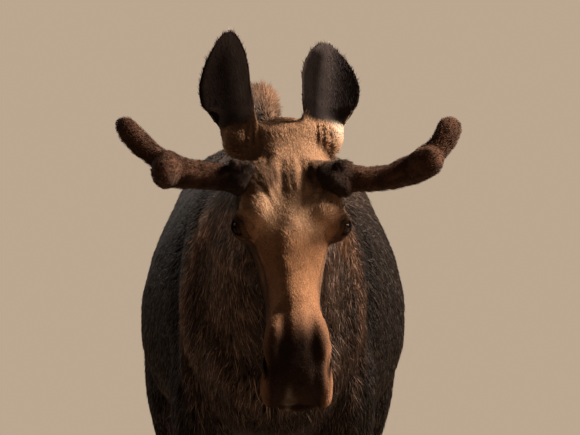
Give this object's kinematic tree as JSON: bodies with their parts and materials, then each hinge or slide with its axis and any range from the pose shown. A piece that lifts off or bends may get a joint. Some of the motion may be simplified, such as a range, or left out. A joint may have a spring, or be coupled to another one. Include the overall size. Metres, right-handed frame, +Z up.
{
  "type": "moose",
  "caption": "Young bull moose, life size, standing with its head lowered, ears pricked and first antlers in velvet; a still museum-style model that rests on its hooves.",
  "frame": {"origin": "on the ground under the middle of the animal's bounding box", "axes": "+Z up, the moose faces -Y, its left side is towards +X"},
  "size_m": [0.6912, 2.3573, 1.8159],
  "materials": {
    "coat": "coarse dark brown spring coat with paler hair tips, matte",
    "face": "short tan to brown face hair, darker towards the muzzle, matte",
    "shank": "short grey-brown hair of the lower legs, matte",
    "ear": "short grey-black hair, brown at the rim, matte",
    "velvet": "fuzzy reddish-brown velvet on growing antlers, matte",
    "hoof": "black horn, slightly glossy",
    "eye": "dark brown eye, wet and shiny"
  },
  "bodies": {
    "root": {"eye_left": "eye", "eye_right": "eye", "head": "face", "muzzle": "face", "lower_jaw": "face", "neck": "coat", "foreleg_left_upper": "coat", "foreleg_left_lower": "shank", "hoof_fore_left_inner": "hoof", "hoof_fore_left_outer": "hoof", "dewclaw_fore_left_inner": "hoof", "dewclaw_fore_left_outer": "hoof", "foreleg_right_upper": "coat", "foreleg_right_lower": "shank", "hoof_fore_right_outer": "hoof", "hoof_fore_right_inner": "hoof", "dewclaw_fore_right_outer": "hoof", "dewclaw_fore_right_inner": "hoof", "hind_leg_left_upper": "coat", "hind_leg_left_lower": "shank", "hoof_hind_left_inner": "hoof", "hoof_hind_left_outer": "hoof", "dewclaw_hind_left_inner": "hoof", "dewclaw_hind_left_outer": "hoof", "hind_leg_right_upper": "coat", "hind_leg_right_lower": "shank", "hoof_hind_right_outer": "hoof", "hoof_hind_right_inner": "hoof", "dewclaw_hind_right_outer": "hoof", "dewclaw_hind_right_inner": "hoof", "trunk": "coat", "mane": "coat", "bell": "coat", "tail": "coat", "ear_right": "ear", "ear_left": "ear", "antler_right_beam": "velvet", "antler_right_front_tine": "velvet", "antler_right_back_tine": "velvet", "antler_left_beam": "velvet", "antler_left_front_tine": "velvet", "antler_left_back_tine": "velvet"}
  },
  "joints": []
}
